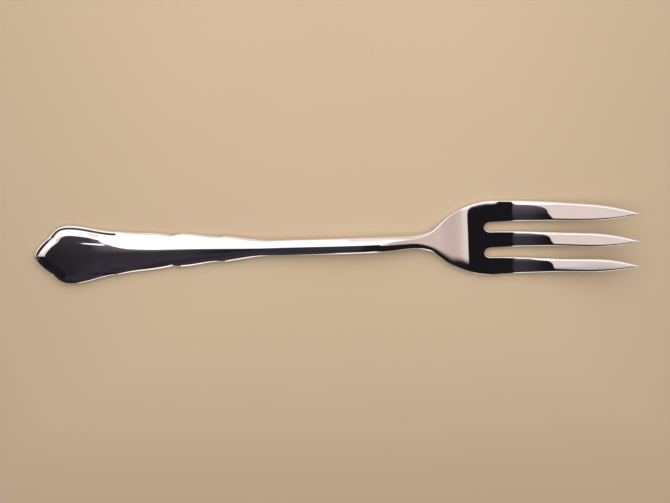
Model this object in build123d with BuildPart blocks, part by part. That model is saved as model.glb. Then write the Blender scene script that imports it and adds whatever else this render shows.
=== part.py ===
"""Pastry fork: one polished metal stamping, modelled as six regions that meet face to face.

X runs from the handle's tip to the tine points, +Y is the left side, where the broad cutting tine is,
and +Z is up. The fork lies face up on the plane Z = 0, on the handle's back and the heel of the head.
"""

import os

from build123d import *

# Lengths along the fork, from the handle's tip to the tine points
terminal_length = 20.8
first_lobe_length = 15.7
second_lobe_length = 11.0
last_lobe_length = 11.7
stem_length = 30.0
shoulder_length = 24.9
tine_length = 36.1

# The terminal's outline: a pointed ogee with round shoulders
terminal_width = 14.75
widest_at = 8.6
break_at = 3.9
break_width = 9.6
break_slope_before = 0.65
break_slope_after = 1.5
tip_bluntness = 0.5

# The handle's edge: shallow lobes that meet at small cusps, with a notch before the second cusp
first_cusp_width = 10.7
first_lobe_slope = 0.17
notch_width = 7.55
notch_before_cusp = 2.3
notch_slope = 0.25
second_cusp_width = 8.2
third_cusp_width = 6.3
third_cusp_slope = 0.11

# The stem and the shoulder
stem_width = 3.5
neck_width = 3.0
flare_at = 9.5
flare_width = 5.6
shoulder_middle_at = 14.9
shoulder_middle_width = 12.0

# Tines and slots across the root of the head, from left to right
left_tine_width = 4.75
left_slot_width = 3.15
middle_tine_width = 3.5
right_slot_width = 3.2
right_tine_width = 3.9

# Tines at half their length and at their points
left_tine_middle_width = 4.07
left_tine_middle_y = 6.63
left_tip_y = 6.55
middle_tine_middle_width = 2.94
middle_tine_middle_y = -0.51
middle_tip_y = -0.5
right_tine_middle_width = 2.86
right_tine_middle_y = -7.32
right_tip_y = -6.9
point_slope = 0.3

# Side profile: heights of the underside and thicknesses
handle_rise = 0.85
neck_rise = 1.95
neck_crest_before_shoulder = 2.0
heel_length = 9.0
heel_before_tines = 1.9
tip_rise = 7.4
handle_thickness = 2.0
stem_thickness = 2.3
neck_thickness = 2.4
head_thickness = 1.8
tip_thickness = 0.9

# The handle's face: a crowned field inside a raised thread along the edge
field_crown = 1.2
tip_fall = 0.7
stem_crown = 0.05
thread_width = 0.75
thread_below_crown = 0.45
thread_below_stem = 0.15

# Stations along the fork, measured from the handle's tip
first_cusp = terminal_length
second_cusp = first_cusp + first_lobe_length
notch = second_cusp - notch_before_cusp
third_cusp = second_cusp + second_lobe_length
handle_end = third_cusp + last_lobe_length
neck = handle_end + stem_length
crest = neck - neck_crest_before_shoulder
tine_root = neck + shoulder_length
heel_end = tine_root - heel_before_tines
heel_start = heel_end - heel_length
overall_length = tine_root + tine_length

# Edges of the tines and slots at the root, from left to right
head_width = left_tine_width + left_slot_width + middle_tine_width + right_slot_width + right_tine_width
left_slot_top = head_width / 2 - left_tine_width
middle_tine_top = left_slot_top - left_slot_width
right_slot_top = middle_tine_top - middle_tine_width
right_tine_top = right_slot_top - right_slot_width

# Reach of the working solids, clear of everything that they cut
tool_height = tip_rise + tip_thickness + neck_rise + neck_thickness + handle_thickness
tool_reach = head_width + terminal_width


def at(distance, offset=0.0):
    """Point at a distance from the handle's tip, in the frame with its origin at mid length."""
    return (distance - overall_length / 2, offset)


def handle_outline(inset=0.0, mode=Mode.ADD):
    """Closed outline of the handle, in plan, drawn in from its edge by an inset."""
    tip = at(inset)
    flank = at(break_at + inset / 2, break_width / 2 - inset)
    widest = at(widest_at, terminal_width / 2 - inset)
    cusp_one = at(first_cusp, first_cusp_width / 2 - inset)
    hollow = at(notch, notch_width / 2 - inset)
    cusp_two = at(second_cusp, second_cusp_width / 2 - inset)
    cusp_three = at(third_cusp, third_cusp_width / 2 - inset)
    end = at(handle_end, stem_width / 2 - inset)
    with BuildLine() as outline:
        with BuildLine() as half:
            Spline(tip, flank, tangents=((0, 1), (1, break_slope_before)), tangent_scalars=(tip_bluntness, 1))
            Spline(flank, widest, tangents=((1, break_slope_after), (1, 0)))
            Spline(widest, cusp_one, tangents=((1, 0), (1, 0)))
            Spline(cusp_one, hollow, tangents=((1, -first_lobe_slope), (1, -notch_slope)))
            Spline(hollow, cusp_two, tangents=((1, notch_slope), (1, 0)))
            Spline(cusp_two, cusp_three, tangents=((1, 0), (1, third_cusp_slope)))
            Spline(cusp_three, end, tangents=((1, -third_cusp_slope), (1, 0)))
            Line(end, at(handle_end))
        mirror(half.line, about=Plane.XZ)
    make_face(outline.edges(), mode=mode)


def tine_outline(root_top, root_width, middle_y, middle_width, tip_y):
    """Closed outline of one tine, in plan: two curved sides from the root to the point."""
    middle = tine_root + tine_length / 2
    with BuildLine() as outline:
        upper = Spline(
            at(tine_root, root_top),
            at(middle, middle_y + middle_width / 2),
            at(overall_length, tip_y),
            tangents=((1, 0), (1, -point_slope)),
        )
        lower = Spline(
            at(tine_root, root_top - root_width),
            at(middle, middle_y - middle_width / 2),
            at(overall_length, tip_y),
            tangents=((1, 0), (1, point_slope)),
        )
        Line(upper @ 0, lower @ 0)
    make_face(outline.edges())


# The bent strip: the side profile of the whole fork, drawn out across it
with BuildPart() as strip:
    with BuildSketch(Plane.XZ):
        with BuildLine():
            rest = Line(at(0), at(second_cusp))
            rise = Line(rest @ 1, at(handle_end, handle_rise))
            back = Spline(
                rise @ 1,
                at(crest, neck_rise),
                at(heel_start),
                tangents=(rise % 1, (1, 0)),
            )
            heel = Line(back @ 1, at(heel_end))
            under = TangentArc(heel @ 1, at(overall_length, tip_rise), tangent=(1, 0))
            tip = Line(under @ 1, at(overall_length, tip_rise + tip_thickness))
            face = TangentArc(at(heel_end, head_thickness), tip @ 1, tangent=(1, 0))
            floor = Line(at(heel_start, head_thickness), face @ 0)
            stem_start = at(handle_end, handle_rise + stem_thickness)
            handle_rise_top = Line(at(second_cusp, handle_thickness), stem_start)
            Spline(
                stem_start,
                at(crest, neck_rise + neck_thickness),
                floor @ 0,
                tangents=(handle_rise_top % 1, (1, 0)),
            )
            handle_top = Line(at(0, handle_thickness), handle_rise_top @ 0)
            Line(rest @ 0, handle_top @ 0)
        make_face()
    extrude(amount=tool_reach, both=True)

# The dome that shapes the handle's face: an arched section that narrows along the handle and falls to the tip
with BuildPart() as dome:
    for distance, width, top, crown in (
        (-widest_at, terminal_width, handle_thickness - 2 * tip_fall, field_crown),
        (widest_at, terminal_width, handle_thickness, field_crown),
        (first_cusp, first_cusp_width, handle_thickness, field_crown),
        (second_cusp, second_cusp_width, handle_thickness, field_crown),
        (handle_end, stem_width, handle_rise + stem_thickness, stem_crown),
    ):
        with BuildSketch(Plane.YZ.offset(at(distance)[0])):
            with BuildLine():
                edge = width / 2 + thread_width
                arch = ThreePointArc((-edge, top - crown), (0, top), (edge, top - crown))
                Polyline(arch @ 1, (edge, -tool_height), (-edge, -tool_height), arch @ 0)
            make_face()
    loft(ruled=True)

# The height of the thread, which runs out at the stem
with BuildPart() as thread_height:
    with BuildSketch(Plane.XZ):
        with BuildLine():
            Polyline(
                at(-widest_at),
                at(-widest_at, handle_thickness - thread_below_crown),
                at(second_cusp, handle_thickness - thread_below_crown),
                at(handle_end, handle_rise + stem_thickness - thread_below_stem),
                at(handle_end),
                close=True,
            )
        make_face()
    extrude(amount=tool_reach, both=True)

# The thread: a narrow raised line along the handle's edge
with BuildPart() as thread:
    with BuildSketch():
        handle_outline()
        handle_outline(thread_width, mode=Mode.SUBTRACT)
    extrude(amount=tool_height)
    add(strip.part, mode=Mode.INTERSECT)
    add(thread_height.part, mode=Mode.INTERSECT)

# The handle, with a domed field inside the thread
with BuildPart() as handle:
    with BuildSketch():
        handle_outline()
    extrude(amount=tool_height)
    add(strip.part, mode=Mode.INTERSECT)
    add(dome.part, mode=Mode.INTERSECT)
    add(thread.part)

# The stem, which tapers evenly to the neck
with BuildPart() as stem:
    with BuildSketch():
        with BuildLine():
            Polyline(
                at(handle_end, stem_width / 2),
                at(neck, neck_width / 2),
                at(neck, -neck_width / 2),
                at(handle_end, -stem_width / 2),
                close=True,
            )
        make_face()
    extrude(amount=tool_height)
    add(strip.part, mode=Mode.INTERSECT)

# The head: the flared shoulder, up to the round ends of the slots
with BuildPart() as head:
    with BuildSketch():
        with BuildLine() as shoulder:
            with BuildLine() as half_shoulder:
                Line(at(neck), at(neck, neck_width / 2))
                Spline(
                    at(neck, neck_width / 2),
                    at(neck + flare_at, flare_width / 2),
                    at(neck + shoulder_middle_at, shoulder_middle_width / 2),
                    at(tine_root, head_width / 2),
                    tangents=((1, 0), (1, 0)),
                )
                Line(at(tine_root, head_width / 2), at(tine_root))
            mirror(half_shoulder.line, about=Plane.XZ)
        make_face(shoulder.edges())
        with Locations(at(tine_root, left_slot_top - left_slot_width / 2)):
            Circle(left_slot_width / 2, mode=Mode.SUBTRACT)
        with Locations(at(tine_root, right_slot_top - right_slot_width / 2)):
            Circle(right_slot_width / 2, mode=Mode.SUBTRACT)
    extrude(amount=tool_height)
    add(strip.part, mode=Mode.INTERSECT)

# The three tines
with BuildPart() as tine_left:
    with BuildSketch():
        tine_outline(head_width / 2, left_tine_width, left_tine_middle_y, left_tine_middle_width, left_tip_y)
    extrude(amount=tool_height)
    add(strip.part, mode=Mode.INTERSECT)

with BuildPart() as tine_middle:
    with BuildSketch():
        tine_outline(
            middle_tine_top, middle_tine_width, middle_tine_middle_y, middle_tine_middle_width, middle_tip_y
        )
    extrude(amount=tool_height)
    add(strip.part, mode=Mode.INTERSECT)

with BuildPart() as tine_right:
    with BuildSketch():
        tine_outline(
            right_tine_top, right_tine_width, right_tine_middle_y, right_tine_middle_width, right_tip_y
        )
    extrude(amount=tool_height)
    add(strip.part, mode=Mode.INTERSECT)

os.makedirs("parts", exist_ok=True)

handle.part.label = "handle"
export_step(handle.part, "parts/handle.step")

stem.part.label = "stem"
export_step(stem.part, "parts/stem.step")

head.part.label = "head"
export_step(head.part, "parts/head.step")

tine_left.part.label = "tine_left"
export_step(tine_left.part, "parts/tine_left.step")

tine_middle.part.label = "tine_middle"
export_step(tine_middle.part, "parts/tine_middle.step")

tine_right.part.label = "tine_right"
export_step(tine_right.part, "parts/tine_right.step")
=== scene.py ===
import math

import bmesh
import bpy
from bpy.props import FloatProperty, FloatVectorProperty, PointerProperty
from mathutils import Matrix, Vector
from mathutils.kdtree import KDTree


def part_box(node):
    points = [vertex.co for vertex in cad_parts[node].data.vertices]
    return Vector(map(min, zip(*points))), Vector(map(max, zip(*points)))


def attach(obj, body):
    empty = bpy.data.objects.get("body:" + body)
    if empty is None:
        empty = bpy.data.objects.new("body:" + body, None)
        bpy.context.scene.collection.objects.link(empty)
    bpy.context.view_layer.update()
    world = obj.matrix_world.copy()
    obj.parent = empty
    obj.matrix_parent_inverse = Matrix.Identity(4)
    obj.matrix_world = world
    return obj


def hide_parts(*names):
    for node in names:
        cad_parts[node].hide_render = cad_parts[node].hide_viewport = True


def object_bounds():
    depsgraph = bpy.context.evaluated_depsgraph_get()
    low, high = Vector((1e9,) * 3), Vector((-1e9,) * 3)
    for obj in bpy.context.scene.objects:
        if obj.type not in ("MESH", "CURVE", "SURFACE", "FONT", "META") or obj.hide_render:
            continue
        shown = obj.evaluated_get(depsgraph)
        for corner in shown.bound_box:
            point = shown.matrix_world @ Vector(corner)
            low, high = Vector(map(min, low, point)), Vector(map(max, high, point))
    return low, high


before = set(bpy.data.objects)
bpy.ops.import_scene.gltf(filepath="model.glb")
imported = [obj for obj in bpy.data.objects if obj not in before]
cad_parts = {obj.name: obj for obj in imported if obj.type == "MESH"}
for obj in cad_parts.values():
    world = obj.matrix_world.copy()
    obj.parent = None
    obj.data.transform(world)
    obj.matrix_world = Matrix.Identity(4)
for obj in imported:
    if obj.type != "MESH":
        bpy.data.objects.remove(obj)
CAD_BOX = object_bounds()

bl_info = {
    "name": "Pastry fork",
    "version": (1, 0, 0),
    "blender": (4, 5, 0),
    "location": "View3D > Sidebar > Fork",
    "description": "Builds a polished pastry fork with a lobed handle, on a plain paper floor",
    "category": "Add Mesh",
}

MM = 0.001

# Stations along the fork are distances from the handle's tip, which is at this X
TIP_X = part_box("handle")[0].x
HANDLE_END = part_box("handle")[1].x - TIP_X
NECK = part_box("stem")[1].x - TIP_X
TINE_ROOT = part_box("head")[1].x - TIP_X
TINE_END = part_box("tine_middle")[1].x - TIP_X
TINES = ("tine_right", "tine_middle", "tine_left")

# Stations where forms of the face and the edge start, peak or end
FRONT_END = 7 * MM
RIB_START = 9.5 * MM
RIB_PEAK = 14.6 * MM
RIB_END = 18 * MM
FIELD_END = 13.6 * MM
FALL_FADES = 15 * MM
THREAD_END = 25 * MM
STEM_EVEN = 66 * MM
TINE_TAPER = 140 * MM

# Runs of the fork along which a form grows or fades
ARCH_FLATTENS = (94 * MM, 100 * MM)
TINE_CROWN_FADES = (123 * MM, 139 * MM)
TINE_BEVEL_GROWS = (124 * MM, 132 * MM)

# Slopes of the outline where its curves meet, from the tip to the shoulder
TIP_ROUNDNESS = 0.95
BREAK_SLOPES = (0.65, 1.5)
FIRST_LOBE_SLOPE = 0.17
NOTCH_SLOPE = 0.25
THIRD_CUSP_SLOPE = 0.11
STEM_TAPER = 0.008
FLARE_SLOPE = 0.45
SHOULDER_SLOPE = 0.60

# Slopes of the face and of the back: where the stem begins, at the tines' bend and at their points
FACE_SLOPES = (0.05, 0.17, 0.235)
BACK_SLOPES = (0.042, 0.2, 0.26)

# Depth of the tines at the bend, how far the back's bend lies past it, and half of a broad tine's width
BEND_DEPTH = 1.3 * MM
BACK_BEND_PAST = 1 * MM
BROAD_HALF = 2.3 * MM

# Share of the head's swell in the length of the slots' round ends
SLOT_SWELL = 0.65

# Offsets of the rib's step where it starts and ends, and its slope there
RIB_OFFSETS = (3.3 * MM, 2.26 * MM)
RIB_SLOPE = -0.13

# Powers of the fall beside the thread, of the arch across the handle and of the crown across a tine
FALL_POWER = 1.25
ARCH_POWER = 2.0
TINE_POWER = 3

# Faces across each of the three strips that become the tines, up the fork's edge and round a slot's end
STRIP = 24
EDGE_STEPS = 14
SLOT_TURNS = 14

# Points on each side of the outline that distances from the edge are measured to
EDGE_SAMPLES = 6000

# Numbers kept with each point of the skin while it is made
KEPT = ("level", "reach", "inset", "slope", "upper", "lower")


def length(name, description, millimetres):
    """A size in the panel, given in millimetres."""
    size = millimetres * MM
    return FloatProperty(name=name, description=description, default=size, unit="LENGTH", precision=5)


def number(name, description, value):
    """A plain number in the panel."""
    return FloatProperty(name=name, description=description, default=value, precision=4)


def angle(name, description, degrees):
    """An angle in the panel, given in degrees."""
    return FloatProperty(name=name, description=description, default=math.radians(degrees), subtype="ANGLE")


def colour(name, description, value):
    """A colour in the panel, as linear red, green and blue."""
    return FloatVectorProperty(
        name=name,
        description=description,
        default=value,
        subtype="COLOR",
        size=3,
        max=20.0,
    )


class ForkPlan(bpy.types.PropertyGroup):
    """Outline of the fork seen from above: stations from the handle's tip, and full widths there."""

    tip_over: length("Tip overhang", "How far the rounded tip reaches past the plain solid", 0.45)
    front_at: length("Front", "End of the blunt front of the tip", 0.35)
    break_at: length("Flank break", "Where the pointed front meets the round shoulders of the terminal", 3.9)
    break_width: length("Break width", "Width at the flank break", 10.2)
    widest_at: length("Widest at", "Where the terminal is widest", 8.6)
    terminal_width: length("Terminal width", "Greatest width of the handle", 15.45)
    first_cusp_at: length("First cusp", "Where the terminal ends in a small cusp", 20.8)
    first_cusp_width: length("First cusp width", "Width at the first cusp", 11.45)
    notch_at: length("Notch", "Hollow just before the second cusp", 34.2)
    notch_width: length("Notch width", "Width at the notch", 8.35)
    second_cusp_at: length("Second cusp", "Where the first lobe ends", 36.5)
    second_cusp_width: length("Second cusp width", "Width at the second cusp", 9.0)
    third_cusp_at: length("Third cusp", "Where the second lobe ends", 47.5)
    third_cusp_width: length("Third cusp width", "Width at the third cusp", 7.1)
    stem_width: length("Stem width", "Width where the handle becomes the stem", 4.2)
    neck_width: length("Neck width", "Width where the stem meets the shoulder", 3.95)
    flare_at: length("Flare", "Where the shoulder starts to widen fast", 98.7)
    flare_width: length("Flare width", "Width at the flare", 5.6)
    shoulder_at: length("Shoulder", "Middle of the shoulder's curve", 104.1)
    shoulder_width: length("Shoulder width", "Width at the middle of the shoulder", 12.4)
    left_middle: length("Left tine middle", "Offset of the left tine at half its length", 6.63)
    left_middle_width: length("Left tine width", "Width of the left tine at half its length", 4.07)
    left_tip: length("Left point", "Offset of the left tine's point", 6.55)
    middle_middle: length("Middle tine middle", "Offset of the middle tine at half its length", -0.51)
    middle_middle_width: length("Middle tine width", "Width of the middle tine at half its length", 2.94)
    middle_tip: length("Middle point", "Offset of the middle tine's point", -0.5)
    right_middle: length("Right tine middle", "Offset of the right tine at half its length", -7.32)
    right_middle_width: length("Right tine width", "Width of the right tine at half its length", 2.86)
    right_tip: length("Right point", "Offset of the right tine's point", -6.9)
    point_slope: number("Point slope", "How fast the tines narrow at their points", 0.3)


class ForkFace(bpy.types.PropertyGroup):
    """Heights of the fork seen from the side, and the relief of its upper face."""

    handle_top: length("Handle top", "Height of the handle's crest", 2.0)
    stem_top: length("Stem top", "Height of the face where the stem begins", 3.0)
    stem_back: length("Stem back", "Height of the back where the stem begins", 0.85)
    crest_at: length("Neck crest", "Station of the highest point of the neck", 84.0)
    crest_top: length("Crest top", "Height of the face at the neck's crest", 4.1)
    crest_back: length("Crest back", "Height of the back at the neck's crest", 1.9)
    heel_start: length("Heel start", "Where the back comes down to the table", 103.2)
    heel_end: length("Heel end", "Where the back leaves the table", 112.2)
    head_flat_at: length("Flat of the head", "Where the face of the head is level", 109.5)
    head_top: length("Head thickness", "Thickness of the head where it is level", 1.5)
    kink_at: length("Tine kink", "Where the tines turn up from the level head", 118.7)
    kink_run: length("Kink run", "Length of that turn", 1.5)
    kink_slope: number("Kink slope", "Slope of the tines just after the turn", 0.098)
    bend_at: length("Tine bend", "Where the bend of the tines has grown straight", 128.0)
    bend_top: length("Bend top", "Height of the face at the end of the bend", 2.64)
    tip_top: length("Point top", "Height of the tines' points, above", 7.75)
    tip_back: length("Point height", "Height of the tines' points, below", 7.0)
    terminal_crown: length("Terminal crown", "Rise of the terminal's field in its middle", 0.004)
    shank_crown: length("Shank crown", "Rise of the shank's arched field", 0.52)
    stem_crown: length("Stem crown", "Rise of the stem's arched face", 0.285)
    neck_crown: length("Neck crown", "Rise of the neck's face", 0.12)
    flare_crown: length("Flare crown", "Rise of the face where the shoulder flares", 0.025)
    shoulder_crown: length("Shoulder crown", "Rise of the face across the shoulder and the head", 0.06)
    rib_step: length("Rib step", "Height of the step where the shank's rib runs out on the terminal", 0.016)
    rib_width: length("Rib step width", "Width of that step", 0.3)
    terminal_fall: length("Terminal fall", "Drop of the terminal's field beside the thread", 0.22)
    fall_width: length("Fall width", "Width of the band that drops beside the thread", 1.2)
    thread_width: length("Thread", "Width of the thread line round the terminal", 1.18)
    tine_crown: length("Tine crown", "Rise of the broad tine's face in its middle", 0.045)
    tine_bevel: length("Tine bevel", "Drop of the narrow bevel along the tines' edges", 0.035)
    bevel_width: length("Bevel width", "Width of that bevel", 0.22)
    terminal_edge: length("Terminal edge", "Rounding of the terminal's edge", 0.42)
    shank_edge: length("Shank edge", "Rounding of the shank's edge", 0.6)
    stem_edge: length("Stem edge", "Rounding of the stem's edge", 0.25)
    neck_edge: length("Neck edge", "Rounding of the edge where the shoulder flares", 0.85)
    head_edge: length("Head edge", "Rounding of the shoulder's edge", 0.3)
    tine_edge: length("Tine edge", "Rounding of the tines' edges", 0.38)
    point_edge: length("Point edge", "Rounding of the tines' points", 0.15)
    undercut: length("Undercut", "How far the back lies inside the face, all round", 0.5)
    head_swell: length("Head swell", "Extra width of the head and tines on each side, outside the plan", 0.42)


class ForkFinish(bpy.types.PropertyGroup):
    """Look of the polished metal."""

    metal: colour("Metal", "Colour of the polished metal", (0.90, 0.875, 0.86))
    worn: colour("Worn metal", "Colour where the polish is a little dull", (0.84, 0.805, 0.785))
    roughness: number("Roughness", "Roughness of the polish", 0.012)
    dulling: number("Dulling", "Extra roughness where the polish is dull", 0.02)
    scratch: number("Scratches", "Strength of the fine scratches", 0.004)


class ForkStage(bpy.types.PropertyGroup):
    """The floor, the light and the camera."""

    paper: colour("Paper", "Colour of the floor", (0.525, 0.412, 0.288))
    paper_fibre: colour("Paper fibre", "Colour of the floor's fibres", (0.512, 0.401, 0.279))
    # Painted shade on the paper at the sides and in front, standing in for light that falls off there
    paper_falloff_shade: colour("Painted falloff shade", "Colour of the floor at the sides and in front", (0.43, 0.336, 0.233))
    backdrop: colour("Backdrop", "Colour behind the floor, as the camera sees it", (0.80, 0.68, 0.55))
    overhead: colour("Overhead light", "Bright light above and behind", (1.35, 1.33, 1.31))
    left_wall: colour("Left wall", "Light from the handle's end", (0.82, 0.68, 0.65))
    right_wall: colour("Right wall", "Light from the tines' end", (0.70, 0.545, 0.505))
    right_near: colour("Right wall's edge", "Brighter edge of the right wall", (0.84, 0.72, 0.67))
    right_corner: colour("Right corner", "Dimmer strip in the right wall", (0.61, 0.48, 0.44))
    far_wall: colour("Far wall", "Light low down behind", (0.85, 0.80, 0.74))
    side_dim: colour("Low sides", "Dimmer walls low down at both ends", (0.30, 0.25, 0.225))
    near_dark: colour("Near side", "Dim side in front", (0.012, 0.011, 0.014))
    near_low: colour("Low near side", "Light low down in front", (0.26, 0.22, 0.20))
    low_light: colour("Low light", "Narrow bright gap low down in front", (1.4, 1.36, 1.32))
    shade: colour("Shade overhead", "Dark shape above the fork", (0.011, 0.0095, 0.0115))
    soft_shade: colour("Soft shade", "Dark shape above the handle", (0.041, 0.035, 0.046))
    soft_edge: colour("Soft edge", "Edge of the dark shape above the handle", (0.14, 0.121, 0.146))
    lamp_colour: colour("Lamp colour", "Colour of the lamp behind the fork", (1.0, 0.99, 0.97))
    lamp_power: number("Lamp power", "Power of the lamp behind the fork, in watts", 2.65)
    lamp_size: length("Lamp size", "Width of the lamp behind the fork", 640.0)
    lamp_right: length("Lamp right", "Distance of the lamp to the right of the fork's middle", 20.0)
    lamp_back: length("Lamp back", "Distance of the lamp behind the fork", 300.0)
    lamp_height: length("Lamp height", "Height of the lamp above the paper", 390.0)
    tilt: angle("Tilt", "Camera's lean from straight above", 17.0)
    roll: angle("Roll", "Turn of the fork in the picture", 2.36)
    distance: length("Distance", "Distance of the camera from the fork", 401.6)
    lens: number("Lens", "Focal length of the camera, in millimetres", 85.97)
    aim_right: length("Aim right", "Middle of the picture, to the right of the fork's middle", 0.05)
    aim_up: length("Aim up", "Middle of the picture, above the fork's middle", -2.02)


class Curve:
    """A smooth line of value against distance, through knots.

    A knot is a distance, a value and, where they are given, the slopes before and after it.
    """

    def __init__(self, *knots):
        self.knots = []
        for index, knot in enumerate(knots):
            slopes = knot[2:]
            if not slopes:
                slopes = (self.easy_slope(knots, index),)
            self.knots.append((knot[0], knot[1], slopes[0], slopes[-1]))

    @staticmethod
    def easy_slope(knots, index):
        """Slope at a knot that gives none: level at the ends and at turning points."""
        if index == 0 or index == len(knots) - 1:
            return 0.0
        before, here, after = knots[index - 1], knots[index], knots[index + 1]
        if (here[1] - before[1]) * (after[1] - here[1]) <= 0.0:
            return 0.0
        rise_before = (here[1] - before[1]) / (here[0] - before[0])
        rise_after = (after[1] - here[1]) / (after[0] - here[0])
        return 2.0 * rise_before * rise_after / (rise_before + rise_after)

    def span(self, distance):
        """The two knots on either side of a distance."""
        for start, end in zip(self.knots, self.knots[1:]):
            if distance <= end[0]:
                return start, end
        return self.knots[-2], self.knots[-1]

    def at(self, distance):
        """Value at a distance."""
        start, end = self.span(distance)
        run = end[0] - start[0]
        t = min(max((distance - start[0]) / run, 0.0), 1.0)
        blend = t * t * (3.0 - 2.0 * t)
        lead = run * start[3] * t * (1.0 - t) ** 2
        trail = run * end[2] * t * t * (t - 1.0)
        return start[1] + (end[1] - start[1]) * blend + lead + trail

    def slope(self, distance):
        """Slope at a distance."""
        step = 0.01 * MM
        return (self.at(distance + step) - self.at(distance - step)) / (2.0 * step)


def ease(value, start, end):
    """0 before start, 1 after end, and a smooth step between."""
    t = min(max((value - start) / (end - start), 0.0), 1.0)
    return t * t * (3.0 - 2.0 * t)


class ForkShape:
    """Where every point of the fork's skin lies, worked out from the sizes."""

    def __init__(self, plan, face):
        self.plan = plan
        self.face = face
        self.draw_outline()
        self.draw_heights()
        self.draw_relief()
        self.draw_edge()
        self.draw_slots()
        self.edge_points = self.handle_edge_points()

    def draw_outline(self):
        """Half widths from the tip to the tines' roots, and the sides of the tines."""
        plan = self.plan
        slope_before, slope_after = BREAK_SLOPES
        front_run = math.sqrt(plan.break_at + plan.tip_over)
        self.front = Curve(
            (0.0, 0.0, TIP_ROUNDNESS * math.sqrt(MM)),
            (front_run, plan.break_width / 2, slope_before * 2.0 * front_run),
        )
        self.side = Curve(
            (plan.break_at, plan.break_width / 2, slope_after),
            (plan.widest_at, plan.terminal_width / 2, 0.0),
            (plan.first_cusp_at, plan.first_cusp_width / 2, 0.0, -FIRST_LOBE_SLOPE),
            (plan.notch_at, plan.notch_width / 2, -NOTCH_SLOPE, NOTCH_SLOPE),
            (plan.second_cusp_at, plan.second_cusp_width / 2, 0.0, 0.0),
            (plan.third_cusp_at, plan.third_cusp_width / 2, THIRD_CUSP_SLOPE, -THIRD_CUSP_SLOPE),
            (HANDLE_END, plan.stem_width / 2, 0.0, -STEM_TAPER),
            (NECK, plan.neck_width / 2, -STEM_TAPER, 0.0),
            (plan.flare_at, plan.flare_width / 2, FLARE_SLOPE),
            (plan.shoulder_at, plan.shoulder_width / 2, SHOULDER_SLOPE),
            (TINE_ROOT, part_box("tine_left")[1].y, 0.0),
        )
        self.tine_edges = {}
        for node, middle, middle_width, tip in (
            ("tine_left", plan.left_middle, plan.left_middle_width, plan.left_tip),
            ("tine_middle", plan.middle_middle, plan.middle_middle_width, plan.middle_tip),
            ("tine_right", plan.right_middle, plan.right_middle_width, plan.right_tip),
        ):
            self.tine_edges[node] = self.tine_sides(node, middle, middle_width, tip)

    def tine_sides(self, node, middle, middle_width, tip):
        """Upper and lower edge of one tine, from its root to its point."""
        low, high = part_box(node)[0].y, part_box(node)[1].y
        half_run = (TINE_END - TINE_ROOT) / 2
        sides = []
        for root, offset, end_slope in (
            (high, middle_width / 2, -self.plan.point_slope),
            (low, -middle_width / 2, self.plan.point_slope),
        ):
            middle_slope = (3.0 * (tip - root) / half_run - end_slope) / 4.0
            sides.append(
                Curve(
                    (TINE_ROOT, root, 0.0),
                    (TINE_ROOT + half_run, middle + offset, middle_slope),
                    (TINE_END, tip, end_slope),
                )
            )
        return sides

    def draw_heights(self):
        """Heights of the face and of the back along the middle."""
        plan, face = self.plan, self.face
        stem_slope, bend_slope, point_slope = FACE_SLOPES
        kink_top = face.head_top + 0.5 * face.kink_run * face.kink_slope
        self.top = Curve(
            (0.0, face.handle_top, 0.0),
            (plan.second_cusp_at, face.handle_top, 0.0),
            (HANDLE_END, face.stem_top, stem_slope),
            (face.crest_at, face.crest_top, 0.0),
            (face.head_flat_at, face.head_top, 0.0),
            (face.kink_at, face.head_top, 0.0),
            (face.kink_at + face.kink_run, kink_top, face.kink_slope),
            (face.bend_at, face.bend_top, bend_slope),
            (TINE_END, face.tip_top, point_slope),
        )
        stem_slope, bend_slope, point_slope = BACK_SLOPES
        self.back = Curve(
            (0.0, 0.0, 0.0),
            (plan.second_cusp_at, 0.0, 0.0),
            (HANDLE_END, face.stem_back, stem_slope),
            (face.crest_at, face.crest_back, 0.0),
            (face.heel_start, 0.0, 0.0),
            (face.heel_end, 0.0, 0.0),
            (face.bend_at + BACK_BEND_PAST, face.bend_top - BEND_DEPTH, bend_slope),
            (TINE_END, face.tip_back, point_slope),
        )

    def draw_relief(self):
        """Rise of the face along the fork, the fall beside the thread and the step of the shank's rib."""
        plan, face = self.plan, self.face
        # The arch grows from the terminal to the shank, sinks to the neck and ends where the tines turn up
        self.crown = Curve(
            (0.0, face.terminal_crown),
            (FIELD_END, face.terminal_crown),
            (16.4 * MM, 0.27 * face.shank_crown),
            (19 * MM, 0.37 * face.shank_crown),
            (24 * MM, 0.68 * face.shank_crown),
            (33 * MM, face.shank_crown),
            (plan.third_cusp_at, face.shank_crown),
            (STEM_EVEN, face.stem_crown),
            (84 * MM, face.stem_crown),
            (91 * MM, face.neck_crown),
            (plan.flare_at, face.flare_crown),
            (104.4 * MM, 0.55 * face.shoulder_crown),
            (107.4 * MM, face.shoulder_crown),
            (115.5 * MM, face.shoulder_crown),
            (face.kink_at, 0.0),
        )
        self.arch_half = Curve(
            (0.0, plan.terminal_width / 2),
            (plan.widest_at, plan.terminal_width / 2),
            (plan.first_cusp_at, plan.first_cusp_width / 2),
            (plan.second_cusp_at, plan.second_cusp_width / 2),
            (plan.third_cusp_at, plan.third_cusp_width / 2),
            (HANDLE_END, plan.stem_width / 2, -STEM_TAPER),
        )
        self.fall = Curve(
            (0.0, face.terminal_fall),
            (FALL_FADES, face.terminal_fall),
            (THREAD_END, 0.0),
        )
        self.rib = Curve(
            (RIB_START, 0.0),
            (RIB_PEAK, face.rib_step),
            (RIB_END, 0.0),
        )
        self.rib_line = Curve(
            (RIB_START, RIB_OFFSETS[0], RIB_SLOPE),
            (RIB_END, RIB_OFFSETS[1], RIB_SLOPE),
        )

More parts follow.
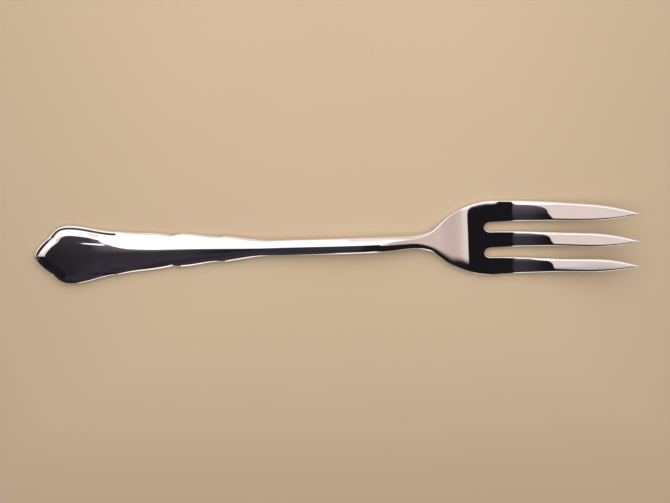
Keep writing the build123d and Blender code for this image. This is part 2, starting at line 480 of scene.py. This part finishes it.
    def draw_edge(self):
        """Rounding of the edge along the fork, and the extra width of the head."""
        plan, face = self.plan, self.face
        self.reach = Curve(
            (0.0, face.terminal_edge),
            (20 * MM, face.terminal_edge),
            (THREAD_END, face.shank_edge),
            (plan.third_cusp_at, face.shank_edge),
            (STEM_EVEN, face.stem_edge),
            (82 * MM, face.stem_edge),
            (95 * MM, face.neck_edge),
            (99 * MM, 0.9 * face.neck_edge),
            (plan.shoulder_at, face.head_edge),
            (109 * MM, face.head_edge),
            (TINE_ROOT, 0.6 * face.tine_edge),
            (122 * MM, face.tine_edge),
            (TINE_TAPER, face.tine_edge),
            (TINE_END, face.point_edge),
        )
        self.swell = Curve(
            (plan.flare_at, 0.0),
            (plan.shoulder_at, face.head_swell),
            (TINE_ROOT, face.head_swell),
            (TINE_TAPER, 0.8 * face.head_swell),
            (TINE_END, 0.0),
        )

    def draw_slots(self):
        """Middle and half width of each slot between the tines, and the length of their round ends."""
        self.slots = {}
        for name, upper, lower in (
            ("left", "tine_left", "tine_middle"),
            ("right", "tine_middle", "tine_right"),
        ):
            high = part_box(upper)[0].y
            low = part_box(lower)[1].y
            self.slots[name] = ((high + low) / 2, (high - low) / 2 - self.face.head_swell)
        widest = max(half for centre, half in self.slots.values())
        self.slot_radius = widest + self.reach.at(TINE_ROOT) + SLOT_SWELL * self.face.head_swell

    def half_width(self, station):
        """Half the fork's width at a station, up to the tines' roots."""
        if station < self.plan.break_at:
            return self.front.at(math.sqrt(max(station + self.plan.tip_over, 0.0)))
        return self.side.at(station) + self.swell.at(station)

    def flank(self, station):
        """How much longer an inset is across the fork than square to its edge."""
        step = 0.02 * MM
        longest = 2.4
        lean = (self.half_width(station + step) - self.half_width(station - step)) / (2.0 * step)
        return min(math.sqrt(1.0 + lean * lean), longest)

    def handle_edge_points(self):
        """Search tree of points along the outline, for distances from the edge."""
        tree = KDTree(2 * EDGE_SAMPLES)
        for index in range(EDGE_SAMPLES):
            share = (index / EDGE_SAMPLES) ** 1.5
            station = (NECK + self.plan.tip_over) * share - self.plan.tip_over
            half = self.half_width(station)
            tree.insert((station, half, 0.0), 2 * index)
            tree.insert((station, -half, 0.0), 2 * index + 1)
        tree.balance()
        return tree

    def stations(self):
        """Rows of the skin from the tip to the points, and the number of the row where the slots start."""
        rows = [self.front_row()]
        # Rows lie closer together where the outline turns faster
        for end, step in (
            (4.2 * MM, 0.16 * MM),
            (22 * MM, 0.3 * MM),
            (HANDLE_END, 0.45 * MM),
            (NECK, 0.6 * MM),
        ):
            rows += self.run(rows[-1], end, step)
        slot_start = TINE_ROOT - self.slot_radius
        rows += self.run(rows[-1], slot_start - 0.06 * MM, 0.45 * MM)
        rows.append(slot_start)
        slot_row = len(rows) - 1
        for turn in range(1, SLOT_TURNS):
            rows.append(TINE_ROOT - self.slot_radius * math.cos(math.radians(90.0 * turn / SLOT_TURNS)))
        rows.append(TINE_ROOT)
        rows += self.run(rows[-1], TINE_END - 3 * MM, 0.6 * MM)
        rows += self.run(rows[-1], TINE_END - self.face.point_edge, 0.15 * MM)
        return rows, slot_row

    def front_row(self):
        """Station of the first row, just inside the tip's rounded edge."""
        return self.plan.front_at + self.face.terminal_edge - self.plan.tip_over

    @staticmethod
    def run(start, end, step):
        """Even stations after start, up to and with end."""
        count = max(1, round((end - start) / step))
        return [start + (end - start) * index / count for index in range(1, count + 1)]

    def handle_offset(self, station, column):
        """Offset of a column on the handle, where columns crowd into the thread at the edge."""
        side = 1 if column >= 1.5 * STRIP else -1
        from_edge = min(column, 3 * STRIP - column)
        flank = self.flank(station)
        half = self.half_width(station)
        rim = half - self.reach.at(station) * flank
        groove = max(min(half - self.face.thread_width * flank, 0.95 * rim), 0.6 * rim)
        # Columns counted from the edge, and the offsets that they lie at
        stops = ((0, rim), (6, groove), (16, 0.52 * rim), (28, 0.3 * rim), (1.5 * STRIP, 0.0))
        for (first, start), (last, end) in zip(stops, stops[1:]):
            if from_edge <= last:
                break
        return side * (start + (end - start) * (from_edge - first) / (last - first))

    def strip_sides(self, station, strip):
        """Lower and upper limit of the strip that becomes a tine."""
        reach = self.reach.at(station)
        if station > TINE_ROOT:
            upper, lower = self.tine_edges[TINES[strip]]
            swell = self.swell.at(station)
            high, low = upper.at(station) + swell, lower.at(station) - swell
            lean = math.sqrt(1.0 + upper.slope(station) ** 2)
            half = max((high - low) / 2 - reach * lean, 0.06 * MM)
            return (high + low) / 2 - half, (high + low) / 2 + half
        rim = self.half_width(station) - reach * self.flank(station)
        turn = min(max((TINE_ROOT - station) / self.slot_radius, 0.0), 1.0)
        opening = math.sqrt(1.0 - turn * turn)
        limits = [(-rim, 0.0)]
        # Where the neck is narrow, each strip's side keeps to a share of the half width
        for name, share in (("right", 0.4), ("left", 0.32)):
            centre, half = self.slots[name]
            centre = math.copysign(min(abs(centre), share * rim), centre)
            gap = (half + self.reach.at(TINE_ROOT)) * opening
            limits.append((centre, gap))
        limits.append((rim, 0.0))
        low, low_gap = limits[strip]
        high, high_gap = limits[strip + 1]
        return low + low_gap, high - high_gap

    def offset(self, station, column, strip):
        """Offset of a column across the fork, to the left of the middle."""
        if station < NECK:
            return self.handle_offset(station, column)
        low, high = self.strip_sides(station, strip)
        turn = math.pi * (column - strip * STRIP) / STRIP
        across = (low + high) / 2 - (high - low) / 2 * math.cos(turn)
        spread_end = TINE_ROOT - self.slot_radius - 1 * MM
        if station >= spread_end:
            return across
        spread = ease(station, NECK, spread_end)
        return self.handle_offset(station, column) * (1.0 - spread) + across * spread

    def inset(self, station, strip, offset):
        """How far a point of the back moves towards the middle of its strip."""
        rim = self.half_width(min(station, TINE_ROOT)) - self.reach.at(station)
        whole = min(self.face.undercut, 0.3 * rim) * offset / rim
        if station <= TINE_ROOT - self.slot_radius:
            return whole
        low, high = self.strip_sides(station, strip)
        half = (high - low) / 2
        part = min(self.face.undercut, 0.5 * half) * (offset - (low + high) / 2) / half
        share = min(1.0, 1.0 - (TINE_ROOT - station) / self.slot_radius)
        return whole * (1.0 - share) + part * share

    def front_station(self, station, column):
        """Station of a point, on rows that bend round the blunt tip."""
        along = station - self.front_row()
        fade = max(0.0, 1.0 - along / FRONT_END) ** 2
        across = 2.0 * column / (3 * STRIP) - 1.0
        return station - self.plan.front_at * (1.0 - across * across) * fade

    def tine_relief(self, station, offset):
        """Height of a tine's face from its line along the middle: a slight crown and a narrow bevel."""
        face = self.face
        strip = sum(offset >= centre for centre, half in self.slots.values())
        upper, lower = (side.at(station) for side in self.tine_edges[TINES[strip]])
        half = max((upper - lower) / 2 + self.swell.at(station), 0.3 * MM)
        across = abs(offset - (upper + lower) / 2)
        crown = face.tine_crown * ease(station, face.kink_at, face.kink_at + face.kink_run)
        crown *= 1.0 - ease(station, *TINE_CROWN_FADES)
        crown *= min(1.0, half / BROAD_HALF) ** 2
        inside = max(0.0, half - across - self.reach.at(station)) / face.bevel_width
        bevel = face.tine_bevel * ease(station, *TINE_BEVEL_GROWS) * max(0.0, 1.0 - inside) ** 2
        return -bevel - crown * min(1.0, across / half) ** TINE_POWER

    def relief(self, station, offset):
        """Height of the face from its line along the middle."""
        face = self.face
        if station > face.kink_at:
            return self.tine_relief(station, offset)
        crown = self.crown.at(station)
        half = self.arch_half.at(station) if station < HANDLE_END else self.half_width(station)
        half -= 0.6 * self.reach.at(station)
        power = ARCH_POWER + ease(station, *ARCH_FLATTENS)
        if station > THREAD_END:
            return -crown * min(1.0, abs(offset) / half) ** power
        edge = self.edge_points.find((station, offset, 0.0))[2]
        # The thread is level up to the first cusp
        cusp = self.plan.first_cusp_at
        level = max(0.0, face.thread_width - edge) * ease(station, cusp + 0.3 * MM, cusp - 0.5 * MM)
        arch = crown * min(1.0, max(0.0, abs(offset) - level) / half) ** power
        inside = max(0.0, edge - face.thread_width)
        drop = self.fall.at(station) * max(0.0, 1.0 - inside / face.fall_width) ** FALL_POWER
        line = self.rib_line.at(station)
        step = self.rib.at(station) * ease(abs(offset), line - face.rib_width / 2, line + face.rib_width / 2)
        return -arch - drop - step

    def height(self, station, offset):
        """Height of the face at a point."""
        return self.top.at(station) + self.relief(station, offset)


def layers(bm):
    """Layers for level from face to back, reach and inset of the edge, its slope, and both heights."""
    return {name: bm.verts.layers.float.get(name) or bm.verts.layers.float.new(name) for name in KEPT}


def fork_sheet(bm, shape):
    """Lays out the upper face of the fork from a grid, slit between the tines."""
    rows, slot_row = shape.stations()
    count = len(rows) - 1
    keep = layers(bm)
    bmesh.ops.create_grid(bm, x_segments=count, y_segments=3 * STRIP, size=1.0)

    def place(vert):
        return round((vert.co.x + 1.0) / 2.0 * count), round((vert.co.y + 1.0) / 2.0 * 3 * STRIP)

    slits = []
    for edge in bm.edges:
        (row_a, column_a), (row_b, column_b) = place(edge.verts[0]), place(edge.verts[1])
        along_slit = column_a == column_b and column_a in (STRIP, 2 * STRIP)
        if along_slit and min(row_a, row_b) >= slot_row:
            slits.append(edge)
    bmesh.ops.split_edges(bm, edges=slits)
    spots = []
    for vert in bm.verts:
        row, column = place(vert)
        middle = sum(face.calc_center_median().y for face in vert.link_faces) / len(vert.link_faces)
        strip = min(2, int((middle + 1.0) / 2.0 * 3.0))
        spots.append((vert, row, column, strip))
    for vert, row, column, strip in spots:
        station = shape.front_station(rows[row], column)
        offset = shape.offset(rows[row], column, strip)
        height = shape.height(station, offset)
        vert.co = (TIP_X + station, offset, height)
        vert[keep["inset"]] = shape.inset(rows[row], strip, offset)
        vert[keep["reach"]] = shape.reach.at(station)
        vert[keep["upper"]] = height
        vert[keep["lower"]] = shape.back.at(station)


def edge_slopes(bm, shape):
    """Keeps the fall of the face at the sheet's edge, so that the rounded edge carries on from it."""
    keep = layers(bm)
    step = 0.05 * MM
    for vert in bm.verts:
        if not vert.is_boundary:
            continue
        outward = Vector((0.0, 0.0, 0.0))
        for edge in vert.link_edges:
            if edge.is_boundary:
                face = edge.link_faces[0]
                side = (edge.verts[1].co - edge.verts[0].co).cross(Vector((0.0, 0.0, 1.0)))
                middle = (edge.verts[0].co + edge.verts[1].co) / 2
                if side.dot(face.calc_center_median() - middle) > 0.0:
                    side.negate()
                outward += side.normalized()
        outward.z = 0.0
        if outward.length < 1e-9:
            continue
        outward.normalize()
        inner = vert.co - outward * step
        drop = shape.height(inner.x - TIP_X, inner.y) - vert.co.z
        along = (shape.top.at(inner.x - TIP_X) - shape.top.at(vert.co.x - TIP_X)) / step
        vert[keep["slope"]] = max(0.0, drop / step - along)


def round_edge(bm):
    """Swells the wall between the face and the back into a rounded edge over a drawn-in back."""
    keep = layers(bm)
    moves = []
    for vert in bm.verts:
        level = vert[keep["level"]]
        if 0.001 < level < 0.999:
            moves.append((vert, level, Vector((vert.normal.x, vert.normal.y, 0.0)).normalized()))
    for vert, level, outward in moves:
        reach, upper, lower = vert[keep["reach"]], vert[keep["upper"]], vert[keep["lower"]]
        # The widest line of the edge lies a little more than its reach below the face, or halfway down
        middle = max(upper - 1.2 * reach, lower + 0.5 * (upper - lower))
        vert.co.y += vert[keep["inset"]] * level
        if level <= 0.5:
            turn = math.pi * level
            slope = min(vert[keep["slope"]], 0.8 * (upper - middle) / reach)
            vert.co.z = upper - slope * reach * math.sin(turn)
            vert.co.z -= (upper - slope * reach - middle) * (1.0 - math.cos(turn))
        else:
            turn = math.pi * (1.0 - level)
            vert.co.z = lower + (middle - lower) * (1.0 - math.cos(turn))
            vert.co.y -= vert[keep["inset"]] * (1.0 - math.sin(turn))
        vert.co += outward * reach * math.sin(turn)


def fork_blank(scene):
    """The whole fork as one closed skin, with a rounded edge all round."""
    shape = ForkShape(scene.fork_plan, scene.fork_face)
    bm = bmesh.new()
    fork_sheet(bm, shape)
    keep = layers(bm)
    edge_slopes(bm, shape)
    made = bmesh.ops.extrude_face_region(bm, geom=bm.faces[:])
    backs = [item for item in made["geom"] if isinstance(item, bmesh.types.BMVert)]
    for vert in backs:
        vert.co.z = vert[keep["lower"]]
        vert.co.y -= vert[keep["inset"]]
        vert[keep["level"]] = 1.0
    walls = [edge for edge in bm.edges if edge.verts[0][keep["level"]] != edge.verts[1][keep["level"]]]
    bmesh.ops.subdivide_edges(bm, edges=walls, cuts=EDGE_STEPS - 1, use_grid_fill=True)
    bmesh.ops.recalc_face_normals(bm, faces=bm.faces[:])
    bm.normal_update()
    round_edge(bm)
    for skin_face in bm.faces:
        skin_face.smooth = True
    bm.normal_update()
    shine = bm.verts.layers.float_vector.new("skin_normal")
    for vert in bm.verts:
        vert[shine] = vert.normal
    return bm


def cut_piece(blank, name, node, inside):
    """One piece of the fork, cut from the blank where inside says, and closed with flat faces at its cuts."""
    bm = blank.copy()
    drop = [face for face in bm.faces if not inside(face.calc_center_median())]
    bmesh.ops.delete(bm, geom=drop, context="FACES")
    if not bm.faces:
        raise RuntimeError("nothing of the blank is left for " + name)
    rims = [edge for edge in bm.edges if edge.is_boundary]
    caps = bmesh.ops.edgeloop_fill(bm, edges=rims)["faces"]
    bmesh.ops.recalc_face_normals(bm, faces=bm.faces[:])
    for cap in caps:
        cap.smooth = False
    mesh = bpy.data.meshes.new(name)
    bm.to_mesh(mesh)
    bm.free()
    # The skin keeps the whole blank's normals, so that no seam shows where it is cut
    normals = []
    kept = mesh.attributes["skin_normal"].data
    for polygon in mesh.polygons:
        for corner in polygon.loop_indices:
            skin = kept[mesh.loops[corner].vertex_index].vector
            normals.append(tuple(skin) if polygon.use_smooth else tuple(polygon.normal))
    mesh.normals_split_custom_set(normals)
    for spare in ("skin_normal", *KEPT):
        mesh.attributes.remove(mesh.attributes[spare])
    piece = bpy.data.objects.new(name, mesh)
    bpy.context.scene.collection.objects.link(piece)
    mesh.materials.append(polished_metal(bpy.context.scene.fork_finish))
    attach(piece, "root")
    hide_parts(node)
    return piece


class Shade:
    """One output socket of a node, with arithmetic that adds the nodes it needs."""

    def __init__(self, socket):
        self.socket = socket
        self.tree = socket.id_data

    def node(self, kind, inputs, output=0, **settings):
        """Adds a node of any kind to the same tree, joins or sets its inputs, and gives one output."""
        return add_node(self.tree, kind, inputs, output, **settings)

    def maths(self, operation, other=0.0):
        """One maths node on this value and another."""
        return self.node("ShaderNodeMath", {0: self, 1: other}, operation=operation)

    def swapped(self, operation, other):
        """One maths node on another value and this one."""
        return self.node("ShaderNodeMath", {0: other, 1: self}, operation=operation)

    def __add__(self, other):
        return self.maths("ADD", other)

    __radd__ = __add__

    def __sub__(self, other):
        return self.maths("SUBTRACT", other)

    def __rsub__(self, other):
        return self.swapped("SUBTRACT", other)

    def __mul__(self, other):
        return self.maths("MULTIPLY", other)

    __rmul__ = __mul__

    def __truediv__(self, other):
        return self.maths("DIVIDE", other)

    def __rtruediv__(self, other):
        return self.swapped("DIVIDE", other)

    def __pow__(self, other):
        return self.maths("POWER", other)

    def __rpow__(self, other):
        return self.swapped("POWER", other)

    def part(self, axis):
        """One axis of a vector."""
        return self.node("ShaderNodeSeparateXYZ", {0: self}, axis)

    def noise(self, scale, detail):
        """Noise at this place."""
        return self.node("ShaderNodeTexNoise", {"Vector": self, "Scale": scale, "Detail": detail}, "Fac")

    def step(self, start, end):
        """0 at start, 1 at end, and a smooth step between."""
        low, high = min(start, end), max(start, end)
        ends = (0.0, 1.0) if start < end else (1.0, 0.0)
        inputs = {"Value": self, "From Min": low, "From Max": high, "To Min": ends[0], "To Max": ends[1]}
        return self.node("ShaderNodeMapRange", inputs, interpolation_type="SMOOTHSTEP")

    def mix(self, first, second):
        """The first colour where this is 0 and the second where it is 1."""
        return self.node("ShaderNodeMix", {0: self, 6: first, 7: second}, 2, data_type="RGBA")


def add_node(tree, kind, inputs, output=0, **settings):
    """Adds a node, joins or sets its inputs, and gives one of its outputs as a shade."""
    node = tree.nodes.new(kind)
    for name, value in settings.items():
        setattr(node, name, value)
    for key, value in inputs.items():
        socket = node.inputs[key]
        if isinstance(value, Shade):
            tree.links.new(value.socket, socket)
        elif socket.type == "RGBA":
            socket.default_value = (*value[:3], 1.0)
        else:
            socket.default_value = value
    return Shade(node.outputs[output])


def fresh_tree(owner):
    """An empty node tree with its output node."""
    owner.use_nodes = True
    owner.node_tree.nodes.clear()
    kind = "ShaderNodeOutputWorld" if isinstance(owner, bpy.types.World) else "ShaderNodeOutputMaterial"
    return owner.node_tree, owner.node_tree.nodes.new(kind)


def polished_metal(finish):
    """Mirror-polished metal with a little dulling and fine scratches."""
    material = bpy.data.materials.get("mirror_metal")
    if material:
        return material
    material = bpy.data.materials.new("mirror_metal")
    tree, output = fresh_tree(material)
    place = add_node(tree, "ShaderNodeTexCoord", {}, "Object")
    cloud = place.noise(90.0, 3.0)
    dull = cloud.step(0.45, 0.75)
    along = place.node("ShaderNodeMapping", {"Vector": place, "Scale": (120.0, 2600.0, 600.0)})
    hair = along.noise(1.0, 2.0)
    scratch = hair.step(0.62, 0.74)
    bump = scratch.node(
        "ShaderNodeBump",
        {"Strength": finish.scratch, "Distance": 0.02 * MM, "Height": scratch},
        "Normal",
    )
    surface = place.node(
        "ShaderNodeBsdfPrincipled",
        {
            "Base Color": dull.mix(finish.metal, finish.worn),
            "Metallic": 1.0,
            "Roughness": finish.roughness + dull * finish.dulling,
            "Normal": bump,
        },
    )
    tree.links.new(surface.socket, output.inputs["Surface"])
    return material


def paper_floor(look):
    """Plain pale paper with faint fibres, and painted shade that darkens it towards the sides and the front,
    standing in for light that falls off there.
    """
    material = bpy.data.materials.new("paper")
    tree, output = fresh_tree(material)
    place = add_node(tree, "ShaderNodeTexCoord", {}, "Object")
    fibre = place.noise(1800.0, 3.0)
    cloud = place.noise(30.0, 2.0)
    aside = place.part("X").maths("ABSOLUTE")
    across = place.part("Y")
    # Painted shade: darkens the paper towards the sides and the front, where the light falls off
    falloff_shade = aside.step(20 * MM, 130 * MM).maths("MAXIMUM", across.step(-5 * MM, -90 * MM))
    grain = (fibre * 0.6 + cloud * 0.4).step(0.35, 0.65)
    bump = fibre.node("ShaderNodeBump", {"Strength": 0.03, "Distance": 0.1 * MM, "Height": fibre}, "Normal")
    surface = place.node(
        "ShaderNodeBsdfPrincipled",
        {
            "Base Color": falloff_shade.mix(grain.mix(look.paper, look.paper_fibre), look.paper_falloff_shade),
            "Roughness": 0.9,
            "Specular IOR Level": 0.2,
            "Normal": bump,
        },
    )
    tree.links.new(surface.socket, output.inputs["Surface"])
    return material


def end_walls(right, back, look):
    """Warm walls at both ends, dimmer low down, and a paler wall low down behind."""
    right_edge = right.step(11.5, 8.5)
    right_wall = right_edge.mix(look.right_wall, look.right_near)
    corner = right.step(11.0, 14.0) * right.step(18.5, 16.0)
    right_wall = corner.mix(right_wall, look.right_corner)
    walls = right.step(-6.0, 4.0).mix(look.left_wall, right_wall)
    low_down = right.maths("ABSOLUTE").step(30.0, 42.0)
    walls = low_down.mix(walls, look.side_dim)
    behind = back.step(20.0, 34.0) * right.step(-17.0, -13.0)
    return behind.mix(walls, look.far_wall)


def bright_area(right, back):
    """How bright it is overhead and in the window to the left, from 0 to 1, dimmer past the handle."""
    over = back.step(-13.9, -13.1) * back.step(28.0, 22.0)
    past_handle = right.step(-4.5, -3.0)
    over = over * (1.0 - 0.45 * past_handle * back.step(8.0, 12.0))
    over = over * (1.0 - 0.6 * past_handle * back.step(0.0, 5.0) * back.step(24.0, 16.0))
    over = over * right.step(-14.5, -12.5).maths("MAXIMUM", back.step(-6.5, -3.5))
    right_limit = right.step(13.0, 6.0) + back.step(-12.0, -3.0) * right.step(26.0, 20.0)
    over = over * right_limit.maths("MINIMUM", 1.0)
    window = right.step(-14.0, -17.0) * right.step(-44.0, -36.0)
    window = window * back.step(-6.5, -3.5) * back.step(38.0, 30.0)
    return over.maths("MAXIMUM", window)


def dark_shape(right, back, look):
    """The dark shape above the fork, with soft corners and a paler middle: where it is, and its colour."""
    lean = right + 3.0 - 0.4 * (back + 17.0)
    outline = (lean / 10.6) ** 8.0 + ((back + 45.0) / 31.5) ** 8.0
    right_fade = right.step(1.0, -3.0)
    middle = right.step(-13.0, -7.5).maths("MAXIMUM", back.step(-24.0, -30.0)) * right_fade
    dip = back.step(-41.0, -36.0) * back.step(-30.0, -35.0)
    dark = (middle * (1.0 - 0.45 * dip)).mix(look.shade, look.soft_shade)
    rim = back.step(-17.0, -13.8) * right.step(-14.5, -12.0) * right_fade
    return outline.step(1.04, 0.96), rim.mix(dark, look.soft_edge)


def studio_light(look):
    """Soft light from all round: bright above and behind, warm walls at the ends, and a dim near side.

    Directions are in degrees: right and back lean from straight up, and a bearing turns from the near side.
    """
    world = bpy.data.worlds.new("studio")
    bpy.context.scene.world = world
    tree, output = fresh_tree(world)
    ray = add_node(tree, "ShaderNodeTexCoord", {}, "Generated")
    along = ray.part("X")
    across = ray.part("Y")
    up = ray.part("Z")
    right = along.maths("ARCTAN2", up) * math.degrees(1.0)
    back = across.maths("ARCTAN2", up) * math.degrees(1.0)
    bearing = along.maths("ARCTAN2", across * -1.0) * math.degrees(1.0)
    sky = bright_area(right, back).mix(end_walls(right, back, look), look.overhead)
    near_side = up.step(0.32, 0.24).mix(look.near_dark, look.near_low)
    sky = back.step(-18.3, -19.3).mix(sky, near_side)
    cover, dark = dark_shape(right, back, look)
    sky = cover.mix(sky, dark)
    gap = bearing.step(-6.6, -5.6) * bearing.step(6.0, 3.0) * back.step(-46.0, -50.0)
    sky = gap.mix(sky, look.low_light)
    seen = add_node(tree, "ShaderNodeLightPath", {}, "Is Camera Ray")
    light = seen.mix(sky, look.backdrop)
    surface = ray.node("ShaderNodeBackground", {"Color": light, "Strength": 1.0})
    tree.links.new(surface.socket, output.inputs["Surface"])


def floor_sheet(look):
    """A wide sheet of paper under the fork."""
    bm = bmesh.new()
    bmesh.ops.create_grid(bm, x_segments=8, y_segments=8, size=3.0)
    mesh = bpy.data.meshes.new("paper_floor")
    bm.to_mesh(mesh)
    bm.free()
    floor = bpy.data.objects.new("paper_floor", mesh)
    bpy.context.scene.collection.objects.link(floor)
    mesh.materials.append(paper_floor(look))


def soft_lamp(look):
    """A soft lamp behind the fork, whose light falls off across the paper."""
    data = bpy.data.lights.new("soft_lamp", "AREA")
    data.shape = "DISK"
    data.size = look.lamp_size
    data.energy = look.lamp_power
    data.color = look.lamp_colour
    lamp = bpy.data.objects.new("soft_lamp", data)
    place = Vector((look.lamp_right, look.lamp_back, look.lamp_height))
    lamp.matrix_world = place.to_track_quat("Z", "Y").to_matrix().to_4x4()
    lamp.location = place
    lamp.visible_glossy = False
    bpy.context.scene.collection.objects.link(lamp)


def photo_camera(look):
    """The camera above the fork, leaning to its left side."""
    data = bpy.data.cameras.new("camera")
    data.sensor_width = 36.0
    data.lens = look.lens
    data.clip_start = 1 * MM
    camera = bpy.data.objects.new("camera", data)
    bpy.context.scene.collection.objects.link(camera)
    picture_right = Vector((math.cos(look.roll), -math.sin(look.roll), 0.0))
    table_up = Vector((math.sin(look.roll), math.cos(look.roll), 0.0))
    upright = Vector((0.0, 0.0, 1.0))
    towards = table_up * math.sin(look.tilt) + upright * math.cos(look.tilt)
    picture_up = table_up * math.cos(look.tilt) - upright * math.sin(look.tilt)
    aim = picture_right * look.aim_right + table_up * look.aim_up + upright * MM
    matrix = Matrix((picture_right, picture_up, towards)).transposed().to_4x4()
    matrix.translation = aim + towards * look.distance
    camera.matrix_world = matrix
    bpy.context.scene.camera = camera


class FORK_OT_handle(bpy.types.Operator):
    """Makes the handle: a pointed terminal and a lobed shank, with a thread line round the edge"""

    bl_idname = "fork.handle"
    bl_label = "Make the handle"

    def execute(self, context):
        blank = fork_blank(context.scene)
        cut_piece(blank, "handle_skin", "handle", lambda spot: spot.x < TIP_X + HANDLE_END)
        blank.free()
        return {"FINISHED"}


class FORK_OT_stem(bpy.types.Operator):
    """Makes the slim arched stem"""

    bl_idname = "fork.stem"
    bl_label = "Make the stem"

    def execute(self, context):
        blank = fork_blank(context.scene)
        cut_piece(blank, "stem_skin", "stem", lambda spot: TIP_X + HANDLE_END < spot.x < TIP_X + NECK)
        blank.free()
        return {"FINISHED"}


class FORK_OT_head(bpy.types.Operator):
    """Makes the flared head, up to the round ends of the slots"""

    bl_idname = "fork.head"
    bl_label = "Make the head"

    def execute(self, context):
        blank = fork_blank(context.scene)
        cut_piece(blank, "head_skin", "head", lambda spot: TIP_X + NECK < spot.x < TIP_X + TINE_ROOT)
        blank.free()
        return {"FINISHED"}


class FORK_OT_tines(bpy.types.Operator):
    """Makes the broad left tine and the two narrower ones"""

    bl_idname = "fork.tines"
    bl_label = "Make the tines"

    def execute(self, context):
        blank = fork_blank(context.scene)
        left_slot = (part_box("tine_left")[0].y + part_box("tine_middle")[1].y) / 2
        right_slot = (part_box("tine_middle")[0].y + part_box("tine_right")[1].y) / 2
        for name, low, high in (
            ("tine_left", left_slot, CAD_BOX[1].y + MM),
            ("tine_middle", right_slot, left_slot),
            ("tine_right", CAD_BOX[0].y - MM, right_slot),
        ):
            cut_piece(
                blank,
                name + "_skin",
                name,
                lambda spot: spot.x > TIP_X + TINE_ROOT and low < spot.y < high,
            )
        blank.free()
        return {"FINISHED"}


class FORK_OT_stage(bpy.types.Operator):
    """Sets out the paper floor, the soft light and the camera"""

    bl_idname = "fork.stage"
    bl_label = "Set out the stage"

    def execute(self, context):
        look = context.scene.fork_stage
        floor_sheet(look)
        studio_light(look)
        soft_lamp(look)
        photo_camera(look)
        context.scene.view_settings.view_transform = "Standard"
        return {"FINISHED"}


class FORK_PT_panel(bpy.types.Panel):
    """Sizes, colours and steps of the fork"""

    bl_label = "Pastry fork"
    bl_idname = "FORK_PT_panel"
    bl_space_type = "VIEW_3D"
    bl_region_type = "UI"
    bl_category = "Fork"

    def draw(self, context):
        for operator in OPERATORS:
            self.layout.operator(operator.bl_idname)
        for group in GROUPS:
            box = self.layout.box()
            values = getattr(context.scene, group)
            for name in values.__annotations__:
                box.prop(values, name)


GROUPS = {"fork_plan": ForkPlan, "fork_face": ForkFace, "fork_finish": ForkFinish, "fork_stage": ForkStage}
OPERATORS = (FORK_OT_handle, FORK_OT_stem, FORK_OT_head, FORK_OT_tines, FORK_OT_stage)
CLASSES = (*GROUPS.values(), *OPERATORS, FORK_PT_panel)


def register():
    """Adds the groups, operators and panel to Blender."""
    for item in CLASSES:
        bpy.utils.register_class(item)
    for name, group in GROUPS.items():
        setattr(bpy.types.Scene, name, PointerProperty(type=group))


def unregister():
    """Takes them out again."""
    for name in GROUPS:
        delattr(bpy.types.Scene, name)
    for item in reversed(CLASSES):
        bpy.utils.unregister_class(item)


def main():
    """Builds the fork and its stage."""
    register()
    bpy.ops.fork.handle()
    bpy.ops.fork.stem()
    bpy.ops.fork.head()
    bpy.ops.fork.tines()
    bpy.ops.fork.stage()


if __name__ == "__main__":
    main()
